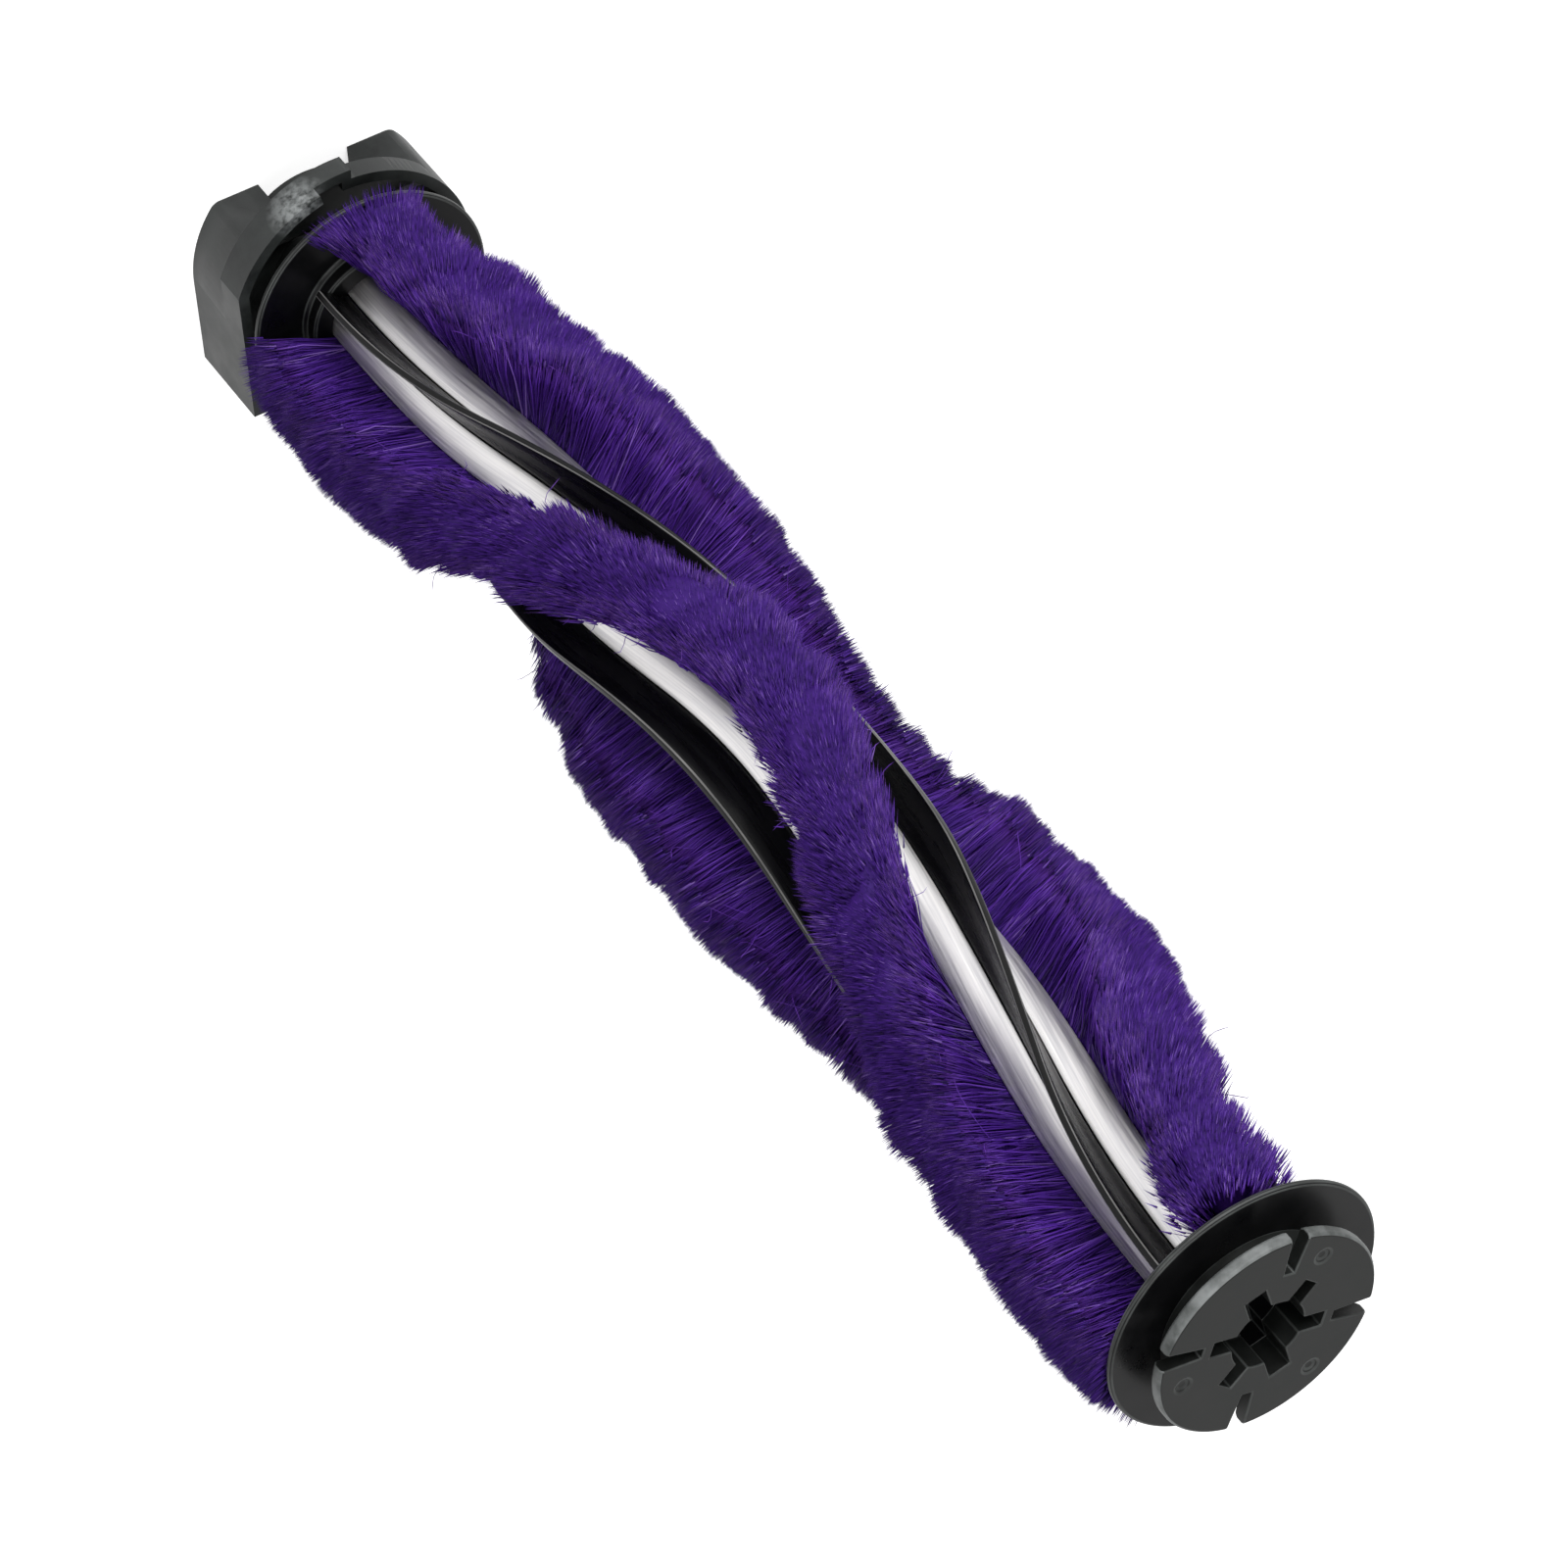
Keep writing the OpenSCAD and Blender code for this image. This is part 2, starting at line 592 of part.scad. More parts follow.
core_tube();
pile_strip(0);  // pile_strip_1
pile_strip(1);  // pile_strip_2
pile_strip(2);  // pile_strip_3
backing_strip(0);  // backing_strip_1
backing_strip(1);  // backing_strip_2
backing_strip(2);  // backing_strip_3
rubber_blade(0);  // rubber_blade_1
rubber_blade(1);  // rubber_blade_2
rubber_blade(2);  // rubber_blade_3
drive_cap();
drive_coupling();
idle_cap();
stub_axle();
retaining_clip();
bearing_inner_ring();
bearing_outer_ring();
bearing_cage();
bearing_balls();
bearing_shield(bearing_top - shield_inset - shield_t);  // bearing_shield_front
bearing_shield(bearing_z + shield_inset);  // bearing_shield_back
bearing_sleeve();
felt_washer();
bearing_block();
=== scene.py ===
# %% [markdown]
# A soft roller brush from a stick vacuum cleaner, dressed in Blender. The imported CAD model
# gives every piece its place and size. This lesson adds what the eye judges: dyed nylon pile,
# a brushed aluminium core, rubber blades and worn moulded plastic.

# %% Load the frame
import math
import bpy
import numpy as np
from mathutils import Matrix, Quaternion, Vector


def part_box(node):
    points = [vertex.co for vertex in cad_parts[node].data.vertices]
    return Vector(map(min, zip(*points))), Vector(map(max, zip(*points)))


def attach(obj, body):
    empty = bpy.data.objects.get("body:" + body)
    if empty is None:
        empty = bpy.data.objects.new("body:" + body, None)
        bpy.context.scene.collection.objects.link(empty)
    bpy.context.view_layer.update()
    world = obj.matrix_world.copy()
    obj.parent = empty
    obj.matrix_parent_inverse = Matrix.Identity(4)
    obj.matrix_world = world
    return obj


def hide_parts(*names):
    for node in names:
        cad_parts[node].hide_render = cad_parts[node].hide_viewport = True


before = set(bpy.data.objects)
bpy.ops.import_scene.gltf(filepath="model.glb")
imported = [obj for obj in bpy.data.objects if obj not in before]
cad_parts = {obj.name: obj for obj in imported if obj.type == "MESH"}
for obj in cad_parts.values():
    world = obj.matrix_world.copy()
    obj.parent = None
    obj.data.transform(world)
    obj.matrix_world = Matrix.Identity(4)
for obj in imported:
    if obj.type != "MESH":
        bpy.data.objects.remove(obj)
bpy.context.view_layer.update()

MM = 0.001

# %% [markdown]
# The camera comes first. The photograph was taken from about 0.8 m with a long lens, which keeps
# the near coupling only a little larger than the far block. The roller stands on its block here,
# so the camera is rolled until the drive end points to the picture's lower right.

# %% Camera
LENS_MM = 144.3
camera_eye = Vector((-269.65, 582.10, 607.90)) * MM
camera_aim = Vector((-0.54, -0.25, 126.98)) * MM
camera_roll = math.radians(139.07)
camera_data = bpy.data.cameras.new("camera")
camera_data.lens = LENS_MM
camera_data.sensor_width = 36
camera_data.clip_start = 0.05
camera_data.clip_end = 20
camera = bpy.data.objects.new("camera", camera_data)
bpy.context.scene.collection.objects.link(camera)
camera.location = camera_eye
camera.rotation_mode = "QUATERNION"
look = (camera_aim - camera_eye).to_track_quat("-Z", "Y")
camera.rotation_quaternion = look @ Quaternion((0, 0, 1), camera_roll)
bpy.context.scene.camera = camera

# %% [markdown]
# Three helpers serve every material. Colours are written as sRGB hex codes, as a colour picker
# shows them, and one function turns them linear. One function adds a node, sets its values and
# links what it is given.

# %% Material helpers
def linear(code):
    """A colour such as "#4a1f96" as the linear red, green, blue and alpha that nodes take."""
    parts = [int(code[i:i + 2], 16) / 255 for i in (1, 3, 5)]
    return tuple(c / 12.92 if c <= 0.04045 else ((c + 0.055) / 1.055) ** 2.4 for c in parts) + (1.0,)


def add_node(tree, kind, inputs=(), **settings):
    """Adds one node. inputs maps a socket's name or number to a value or to an output to link."""
    node = tree.nodes.new(kind)
    for name, value in settings.items():
        setattr(node, name, value)
    for key, value in dict(inputs).items():
        if isinstance(value, bpy.types.NodeSocket):
            tree.links.new(value, node.inputs[key])
        else:
            node.inputs[key].default_value = value
    return node


def new_material(name, inputs):
    """A material with one Principled shader. Returns it with its tree and the shader."""
    material = bpy.data.materials.new(name)
    material.use_nodes = True
    tree = material.node_tree
    tree.nodes.clear()
    shader = add_node(tree, "ShaderNodeBsdfPrincipled", inputs)
    add_node(tree, "ShaderNodeOutputMaterial", {"Surface": shader.outputs["BSDF"]})
    return material, tree, shader


def set_ramp(node, stops):
    """Gives a Color Ramp its stops, each a place from 0 to 1 and a colour."""
    elements = node.color_ramp.elements
    while len(elements) > 1:
        elements.remove(elements[-1])
    for i, (place, colour) in enumerate(stops):
        element = elements[0] if i == 0 else elements.new(place)
        element.position = place
        element.color = colour
    return node.outputs["Color"]


# %% [markdown]
# The caps, the coupling and the block are moulded in nylon filled with short glass. Fresh from
# the mould it is charcoal with a fine eggshell skin. Handling polishes it in soft patches. The
# corners get a paler grey material of their own, laid on by the bevels below.

# %% Moulded nylon
def moulded_nylon(name, dark, pale, rough, shine=0.3):
    """Glass-filled nylon from a spark-eroded mould: a 0.25 mm skin grain and 6 mm rubbed patches."""
    material, tree, shader = new_material(name, {"Specular IOR Level": shine, "IOR": 1.53})
    place = add_node(tree, "ShaderNodeTexCoord").outputs["Object"]
    patches = add_node(tree, "ShaderNodeTexNoise",
                       {"Vector": place, "Scale": 1 / (6 * MM), "Detail": 6.0, "Roughness": 0.6})
    grain = add_node(tree, "ShaderNodeTexNoise",
                     {"Vector": place, "Scale": 1 / (0.25 * MM), "Detail": 2.0, "Roughness": 0.5})
    tone = add_node(tree, "ShaderNodeValToRGB", {"Fac": patches.outputs["Fac"]})
    colour = set_ramp(tone, [(0.36, linear(dark)), (0.72, linear(pale))])
    tree.links.new(colour, shader.inputs["Base Color"])
    gloss = add_node(tree, "ShaderNodeMapRange",
                     {"Value": patches.outputs["Fac"], "From Min": 0.3, "From Max": 0.7,
                      "To Min": rough - 0.07, "To Max": rough + 0.09})
    tree.links.new(gloss.outputs["Result"], shader.inputs["Roughness"])
    skin = add_node(tree, "ShaderNodeBump",
                    {"Height": grain.outputs["Fac"], "Strength": 0.25, "Distance": 0.03 * MM})
    tree.links.new(skin.outputs["Normal"], shader.inputs["Normal"])
    return material


nylon_flange = moulded_nylon("glass_filled_nylon", "#040405", "#0b0b0c", 0.32, 0.16)
# The block's copy is paler than the caps': a painted highlight for the grey sheen that the soft box gives its
# sides.
nylon_block = moulded_nylon("glass_filled_nylon_painted_paler", "#101212", "#282b2a", 0.45, 0.24)
nylon_coupling = moulded_nylon("glass_filled_nylon_coupling", "#0c0d0c", "#191b1a", 0.44, 0.2)
# Paler grey materials for the bevelled corners and for the coupling's outer wall.
nylon_edge = moulded_nylon("glass_filled_nylon_pale_corner", "#141615", "#3a3d3c", 0.48)
nylon_pale_rim = moulded_nylon("glass_filled_nylon_pale_rim", "#303332", "#787b7b", 0.5)

# %% [markdown]
# A painted highlight lies on the block's ring just beside the notch in its lip, where the key
# soft box reflects. The patch fades out from that spot, is broken up by noise and is mixed into
# the base colour.

# %% Painted highlight patch
# Centre and reach of the painted highlight on the block's ring, in mm.
HIGHLIGHT_SPOT = (-7.6, 19.0, 13.6)
HIGHLIGHT_REACH = 5.2


def paint_highlight_patch(material, colour_hex):
    """Mixes a pale patch, a painted highlight, into a material round the spot and as far as the reach set
    above, both in mm.
    """
    tree = material.node_tree
    shader = tree.nodes["Principled BSDF"]
    base = shader.inputs["Base Color"].links[0].from_socket
    place = add_node(tree, "ShaderNodeTexCoord").outputs["Object"]
    away = add_node(tree, "ShaderNodeVectorMath", {0: place, 1: [c * MM for c in HIGHLIGHT_SPOT]},
                    operation="DISTANCE")
    near = add_node(tree, "ShaderNodeMapRange",
                    {"Value": away.outputs["Value"],
                     "From Min": HIGHLIGHT_REACH * MM, "From Max": 0.3 * HIGHLIGHT_REACH * MM})
    speckle = add_node(tree, "ShaderNodeTexNoise",
                       {"Vector": place, "Scale": 1 / (1.1 * MM), "Detail": 5.0})
    broken = add_node(tree, "ShaderNodeMapRange",
                      {"Value": speckle.outputs["Fac"], "From Min": 0.35, "From Max": 0.6})
    share = add_node(tree, "ShaderNodeMath", {0: near.outputs["Result"], 1: broken.outputs["Result"]},
                     operation="MULTIPLY")
    mixed = add_node(tree, "ShaderNodeMix", {"Factor": share.outputs[0], 6: base, 7: linear(colour_hex)},
                     data_type="RGBA")
    tree.links.new(mixed.outputs[2], shader.inputs["Base Color"])


# Painted highlight on the block's ring, where the key soft box reflects.
paint_highlight_patch(nylon_block, "#747777")

# %% [markdown]
# The core is an aluminium extrusion. It is drawn through a die, so its only marks are fine lines
# along its length. Those lines follow the twist, so the pattern runs on the piece's own UV map:
# u goes round the outline and v runs up the roller, both in metres.

# %% Extruded aluminium
def extruded_aluminium():
    """Drawn aluminium with die lines and long silky bands.

    Real die lines are about 0.1 mm apart. They are drawn at 0.3 mm, so that they show."""
    material, tree, shader = new_material("extruded_aluminium", {"Metallic": 1.0, "Anisotropic": 0.5})
    along = add_node(tree, "ShaderNodeUVMap", uv_map="run").outputs["UV"]
    lines_place = add_node(tree, "ShaderNodeMapping",
                           {"Vector": along, "Scale": (1 / (0.32 * MM), 1 / (14 * MM), 1)})
    bands_place = add_node(tree, "ShaderNodeMapping",
                           {"Vector": along, "Scale": (1 / (1.6 * MM), 1 / (60 * MM), 1)})
    lines = add_node(tree, "ShaderNodeTexNoise",
                     {"Vector": lines_place.outputs["Vector"], "Scale": 1.0, "Detail": 3.0})
    bands = add_node(tree, "ShaderNodeTexNoise",
                     {"Vector": bands_place.outputs["Vector"], "Scale": 1.0, "Detail": 2.0})
    mixed = add_node(tree, "ShaderNodeMix", {"Factor": 0.4, 2: lines.outputs["Fac"], 3: bands.outputs["Fac"]})
    tone = add_node(tree, "ShaderNodeValToRGB", {"Fac": mixed.outputs[0]})
    colour = set_ramp(tone, [(0.3, linear("#a3a2a6")), (0.68, linear("#e6e4e2"))])
    tree.links.new(colour, shader.inputs["Base Color"])
    gloss = add_node(tree, "ShaderNodeMapRange",
                     {"Value": lines.outputs["Fac"], "From Min": 0.3, "From Max": 0.7,
                      "To Min": 0.36, "To Max": 0.52})
    tree.links.new(gloss.outputs["Result"], shader.inputs["Roughness"])
    skin = add_node(tree, "ShaderNodeBump",
                    {"Height": lines.outputs["Fac"], "Strength": 0.3, "Distance": 0.02 * MM})
    tree.links.new(skin.outputs["Normal"], shader.inputs["Normal"])
    return material


aluminium = extruded_aluminium()

# %% [markdown]
# The blades are extruded rubber, black and nearly glossy. The corners of the tip are painted
# paler and duller than the sides, a painted highlight for the thin light lines that the tip's
# edges catch. Both looks share one function, and the same UV map.

# %% Blade rubber
def blade_rubber(name, tone_hex, rough):
    """Extruded nitrile rubber: a smooth skin with faint 1 mm ripples left by the die."""
    material, tree, shader = new_material(name, {"Specular IOR Level": 0.12, "IOR": 1.52})
    along = add_node(tree, "ShaderNodeUVMap", uv_map="run").outputs["UV"]
    place = add_node(tree, "ShaderNodeMapping",
                     {"Vector": along, "Scale": (1 / (1.0 * MM), 1 / (18 * MM), 1)})
    ripple = add_node(tree, "ShaderNodeTexNoise",
                      {"Vector": place.outputs["Vector"], "Scale": 1.0, "Detail": 3.0})
    tone = add_node(tree, "ShaderNodeValToRGB", {"Fac": ripple.outputs["Fac"]})
    colour = set_ramp(tone, [(0.3, linear(tone_hex[0])), (0.75, linear(tone_hex[1]))])
    tree.links.new(colour, shader.inputs["Base Color"])
    gloss = add_node(tree, "ShaderNodeMapRange",
                     {"Value": ripple.outputs["Fac"], "From Min": 0.3, "From Max": 0.7,
                      "To Min": rough - 0.05, "To Max": rough + 0.07})
    tree.links.new(gloss.outputs["Result"], shader.inputs["Roughness"])
    skin = add_node(tree, "ShaderNodeBump",
                    {"Height": ripple.outputs["Fac"], "Strength": 0.2, "Distance": 0.05 * MM})
    tree.links.new(skin.outputs["Normal"], shader.inputs["Normal"])
    return material


rubber_side = blade_rubber("nitrile_rubber_skin", ("#040404", "#0c0c0d"), 0.27)
# The tip's corners: paler, duller rubber as a painted highlight.
rubber_edge = blade_rubber("nitrile_rubber_painted_highlight", ("#3c3c3d", "#7d7c7a"), 0.45)

# %% [markdown]
# The pile is nylon fibre, dyed violet before weaving. Painted shade makes a fibre darker towards its
# root, where its neighbours shade it, and a painted highlight turns its tip lilac, where light shines
# through it. A random tone varies from fibre to fibre, and its palest fibres are painted glints.
# Each fibre carries two numbers on its own vertices: a random tone, and how far the point lies
# between root and tip.

# %% Nylon pile
def nylon_pile(name):
    """Crimped nylon fibre, nearly matt in the mass, coloured by the fibre's own attributes, with painted
    shade at the roots and painted highlights at the tips.
    """
    material, tree, shader = new_material(
        name, {"Roughness": 0.5, "Specular IOR Level": 0.1, "IOR": 1.53})
    tone = add_node(tree, "ShaderNodeAttribute", attribute_name="fibre_tone").outputs["Fac"]
    run = add_node(tree, "ShaderNodeAttribute", attribute_name="fibre_run").outputs["Fac"]
    # Painted shade and highlight: dark at the root, where the neighbours shade it, lilac at the tip, where
    # light shines through it.
    depth = set_ramp(add_node(tree, "ShaderNodeValToRGB", {"Fac": run}),
                     [(0.0, linear("#1b0b3a")), (0.55, linear("#4a2386")), (0.85, linear("#6a3ba2")),
                      (1.0, linear("#9a74c0"))])
    # A random tone per fibre, whose palest fibres are painted glints.
    light = set_ramp(add_node(tree, "ShaderNodeValToRGB", {"Fac": tone}),
                     [(0.0, linear("#0a0322")), (0.45, linear("#32136c")),
                      (0.85, linear("#59319c")), (1.0, linear("#8566b6"))])
    mixed = add_node(tree, "ShaderNodeMix", {"Factor": 0.58, 6: depth, 7: light}, data_type="RGBA")
    tree.links.new(mixed.outputs[2], shader.inputs["Base Color"])
    return material


pile_fibre = nylon_pile("dyed_nylon_pile")

# %% [markdown]
# The ball bearing, its rubber sleeve and the felt ring are hidden once the roller is together,
# but each still gets the finish that it would show on the bench.

# %% Hidden pieces' materials
def plain_grained(name, colours, grain_mm, bump, inputs):
    """A two-tone surface with one noise grain, for the small pieces inside the block."""
    material, tree, shader = new_material(name, inputs)
    place = add_node(tree, "ShaderNodeTexCoord").outputs["Object"]
    grain = add_node(tree, "ShaderNodeTexNoise",
                     {"Vector": place, "Scale": 1 / (grain_mm * MM), "Detail": 4.0})
    tone = add_node(tree, "ShaderNodeValToRGB", {"Fac": grain.outputs["Fac"]})
    colour = set_ramp(tone, [(0.35, linear(colours[0])), (0.65, linear(colours[1]))])
    tree.links.new(colour, shader.inputs["Base Color"])
    skin = add_node(tree, "ShaderNodeBump",
                    {"Height": grain.outputs["Fac"], "Strength": bump, "Distance": 0.05 * MM})
    tree.links.new(skin.outputs["Normal"], shader.inputs["Normal"])
    return material


bearing_steel = plain_grained("ground_bearing_steel", ("#a9abad", "#c6c8ca"), 0.4, 0.1,
                              {"Metallic": 1.0, "Roughness": 0.22})
ribbon_brass = plain_grained("pressed_brass", ("#a98547", "#c6a25e"), 0.8, 0.1,
                             {"Metallic": 1.0, "Roughness": 0.3})
sleeve_rubber = plain_grained("moulded_sleeve_rubber", ("#121212", "#1d1d1d"), 0.5, 0.2, {"Roughness": 0.6})
wool_felt = plain_grained("pressed_wool_felt", ("#4b4741", "#857f74"), 0.3, 0.9,
                          {"Roughness": 0.95, "Sheen Weight": 0.4})
woven_backing = plain_grained("woven_polyester_backing", ("#22143f", "#3a2468"), 0.35, 0.7,
                              {"Roughness": 0.85})


def dress(node, material):
    """Gives a CAD node its material."""
    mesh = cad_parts[node].data
    mesh.materials.clear()
    mesh.materials.append(material)


for node in ("stub_axle", "retaining_clip", "bearing_inner_ring", "bearing_outer_ring", "bearing_balls",
             "bearing_shield_front", "bearing_shield_back"):
    dress(node, bearing_steel)
dress("bearing_cage", ribbon_brass)
dress("bearing_sleeve", sleeve_rubber)
dress("felt_washer", wool_felt)
for k in (1, 2, 3):
    dress(f"backing_strip_{k}", woven_backing)

# %% [markdown]
# The caps, the coupling and the block have the right form in CAD but sharp corners. A copy of each
# is merged into one skin, and a Bevel modifier rounds its corners. The bevel can give its new
# faces a material of their own, which puts the paler grey exactly on the corners.

# %% Bevelled plastic pieces
def select_all(piece):
    """Leaves only this piece selected and active, in edit mode with everything selected."""
    bpy.ops.object.select_all(action="DESELECT")
    piece.select_set(True)
    bpy.context.view_layer.objects.active = piece
    bpy.ops.object.mode_set(mode="EDIT")
    bpy.ops.mesh.select_all(action="SELECT")


def bevelled_copy(node, body, materials, width_mm=None, round_first=None):
    """Copies a CAD node, rounds its corners and lets it stand for the node.
    round_first(piece) may round some edges more before the small bevel. A node with very narrow
    faces gets no width_mm and so no small bevel, which would tear them."""
    corner_deg = 30
    piece = bpy.data.objects.new(f"{node}_moulding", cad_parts[node].data.copy())
    bpy.context.scene.collection.objects.link(piece)
    piece.data.materials.clear()
    for material in materials:
        piece.data.materials.append(material)
    select_all(piece)
    bpy.ops.mesh.remove_doubles(threshold=0.002 * MM)
    bpy.ops.mesh.dissolve_limited(angle_limit=math.radians(0.5))
    bpy.ops.object.mode_set(mode="OBJECT")
    if round_first:
        round_first(piece)
    if width_mm:
        bevel = piece.modifiers.new("rounded_corners", "BEVEL")
        bevel.width = width_mm * MM
        bevel.segments = 2
        bevel.limit_method = "ANGLE"
        bevel.angle_limit = math.radians(corner_deg)
        bevel.material = 1
        bevel.use_clamp_overlap = False
        bpy.ops.object.modifier_apply(modifier=bevel.name)
    bpy.ops.object.shade_smooth_by_angle(angle=math.radians(corner_deg))
    if width_mm:
        weigh = piece.modifiers.new("flat_faces_stay_flat", "WEIGHTED_NORMAL")
        weigh.keep_sharp = True
        bpy.ops.object.modifier_apply(modifier=weigh.name)
    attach(piece, body)
    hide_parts(node)
    print(piece.name, len(piece.data.polygons), "faces")
    return piece


HORN_TOP_Y = 12.2
HORN_OUTER_FROM_X = 10.5
HORN_ROUND_MM = 0.8


def round_horns(piece):
    """Rounds the outer corners of the block's horns, which run along Z at the top of its outline."""
    mesh = piece.data
    weights = mesh.attributes.new("bevel_weight_edge", "FLOAT", "EDGE")
    for edge in mesh.edges:
        a, b = (mesh.vertices[v].co for v in edge.vertices)
        upright = abs((a - b).z) > 5 * MM and (a - b).xy.length < 0.01 * MM
        if upright and abs(a.y - HORN_TOP_Y * MM) < 0.05 * MM and abs(a.x) > HORN_OUTER_FROM_X * MM:
            weights.data[edge.index].value = 1.0
            print("rounded edge at", [round(c / MM, 2) for c in a.xy])
    rounding = piece.modifiers.new("rounded_horns", "BEVEL")
    rounding.width = HORN_ROUND_MM * MM
    rounding.segments = 4
    rounding.limit_method = "WEIGHT"
    rounding.use_clamp_overlap = False
    bpy.ops.object.modifier_apply(modifier=rounding.name)
    mesh.attributes.remove(mesh.attributes["bevel_weight_edge"])


drive_cap = bevelled_copy("drive_cap", "roller", [nylon_flange, nylon_edge], 0.14)
idle_cap = bevelled_copy("idle_cap", "roller", [nylon_flange, nylon_edge], 0.14)
block = bevelled_copy("bearing_block", "end_block", [nylon_block], round_first=round_horns)
coupling = bevelled_copy("drive_coupling", "roller", [nylon_coupling, nylon_edge, nylon_pale_rim], 0.2)

# The coupling's outer wall takes the palest grey material all over.
RIM_FROM_R = 15.0
for face in coupling.data.polygons:
    if Vector(face.center).xy.length > RIM_FROM_R * MM and abs(face.normal.z) < 0.9:
        face.material_index = 2

# %% [markdown]
# Every strip on the core follows one law of twist. It turns evenly up each leg, starts softly at
# the ends and reverses at the bend. A point further out rounds the bend over a longer stretch,
# as a bent rubber blade does. The ends come from the frame, the rest repeats the CAD sizes.

# %% The law of the twist
core_low, core_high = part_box("core_tube")
core_z0, core_z1 = core_low.z / MM, core_high.z / MM
core_r = core_high.x / MM
twist_angle = 110.0
ease_end = 36.0
ease_bend = 19.0
twist_run = (core_z1 - core_z0) / 2
bend_z = (core_z0 + core_z1) / 2 + 2.4
twist_rate = twist_angle / (twist_run - ease_end / 2 - ease_bend / 2)
shoulder_r = core_r + 0.6
blade_phase = 137.0
pile_phase = 197.0
strip_pitch = 120.0
print(f"core from {core_z0:.1f} to {core_z1:.1f} mm, radius {core_r:.2f} mm, bend at {bend_z:.1f} mm")


def turn(z, ease):
    """Degrees by which a slot has turned at height z, for an array of heights in mm."""
    d = np.clip(twist_run - np.abs(z - bend_z), 0, None)
    soft = d * d / (2 * ease_end)
    even = d - ease_end / 2
    bend = twist_run - ease_end / 2 - ease / 2 - np.clip(twist_run - d, 0, None) ** 2 / (2 * ease)
    return -twist_rate * np.where(d < ease_end, soft, np.where(d < twist_run - ease, even, bend))


def place(x, y, z, phase, tip_r, lag, lean=0.0):
    """Strip coordinates to the frame, all in mm: x outwards, y round the roller, z up it.
    lean turns the tips by so many degrees more than the law does."""
    r = np.hypot(x, y)
    share = np.clip((r - shoulder_r) / (tip_r - shoulder_r), 0, 1)
    angle = phase + turn(z, ease_bend) + share * (turn(z, ease_bend + lag) - turn(z, ease_bend) + lean)
    angle = np.radians(angle) + np.arctan2(y, x)
    return np.stack([r * np.cos(angle), r * np.sin(angle), z * np.ones_like(r)], axis=-1)


# %% [markdown]
# The core and the blades are long bars of one outline. Each starts as a flat outline, a Screw
# modifier with no turn draws it up into a straight bar, and the law of the twist then moves its
# vertices. No operator turns a bar by a law, so that last step is array code.

# %% Twisted bars
def straight_bar(name, outline, z0, z1, rings):
    """A closed straight bar of this outline in mm, with a ring at each step."""
    mesh = bpy.data.meshes.new(name)
    count = len(outline)
    mesh.from_pydata([(x * MM, y * MM, z0 * MM) for x, y in outline],
                     [(i, (i + 1) % count) for i in range(count)], [])
    bar = bpy.data.objects.new(name, mesh)
    bpy.context.scene.collection.objects.link(bar)
    bpy.ops.object.select_all(action="DESELECT")
    bar.select_set(True)
    bpy.context.view_layer.objects.active = bar
    screw = bar.modifiers.new("drawn_up", "SCREW")
    screw.angle = 0
    screw.screw_offset = (z1 - z0) * MM
    screw.steps = screw.render_steps = rings
    bpy.ops.object.modifier_apply(modifier=screw.name)
    return bar


def lay_uv(bar, around):
    """Writes the UV map "run": u round the outline in metres, v up the bar in metres."""
    mesh = bar.data
    corner = np.empty(len(mesh.loops), np.int64)
    mesh.loops.foreach_get("vertex_index", corner)
    co = np.empty(len(mesh.vertices) * 3)
    mesh.vertices.foreach_get("co", co)
    uv = np.stack([around[corner % len(around)] * MM, co.reshape(-1, 3)[corner, 2]], axis=-1)
    mesh.uv_layers.new(name="run").data.foreach_set("uv", uv.ravel())


def twisted_bar(name, outline, z0, z1, rings, phase, tip_r, lag, lean=lambda z: 0.0):
    """A bar that follows the law of the twist, closed at both ends. lean gives degrees at height z."""
    outline = np.array(outline)
    bar = straight_bar(name, outline, z0, z1, rings)
    steps = np.hypot(*(np.roll(outline, -1, 0) - outline).T)
    around = np.concatenate([[0], np.cumsum(steps)[:-1]])
    lay_uv(bar, around)
    co = np.empty(len(bar.data.vertices) * 3)
    bar.data.vertices.foreach_get("co", co)
    x, y, z = co.reshape(-1, 3).T / MM
    bar.data.vertices.foreach_set("co", (place(x, y, z, phase, tip_r, lag, lean(z)) * MM).ravel())
    select_all(bar)
    bpy.ops.mesh.select_all(action="DESELECT")
    bpy.ops.mesh.select_mode(type="EDGE")
    bpy.ops.mesh.select_non_manifold()
    bpy.ops.mesh.edge_face_add()
    bpy.ops.mesh.select_all(action="SELECT")
    bpy.ops.mesh.normals_make_consistent(inside=False)
    bpy.ops.mesh.select_mode(type="VERT")
    bpy.ops.object.mode_set(mode="OBJECT")
    print(name, len(bar.data.polygons), "faces")
    return bar


def polar(r, a):
    return (r * math.cos(math.radians(a)), r * math.sin(math.radians(a)))


def turned(p, a):
    c, s = math.cos(math.radians(a)), math.sin(math.radians(a))
    return (p[0] * c - p[1] * s, p[0] * s + p[1] * c)

# %% [markdown]
# The extrusion holds six strips in six T-slots. Each slot has two lips, and the lobes between
# the slots are what shows silver. Rounding the lips by a few tenths gives the bright line that
# real lips show beside the pile.

# %% Aluminium core
lip = 1.0
cavity_top = core_r - lip
lobe_steps = 10


def slot_outline(mouth, cavity, depth):
    """One T-slot of the core, in mm, from its right lip to its left lip."""
    half = math.degrees(math.asin(mouth / 2 / core_r))
    right = [polar(core_r, -half - 2.0), polar(core_r - 0.06, -half - 0.7), polar(core_r - 0.3, -half),
             (cavity_top, -mouth / 2), (cavity_top, -cavity / 2), (cavity_top - depth, -cavity / 2)]
    return right + [(x, -y) for x, y in reversed(right)], half + 2.0


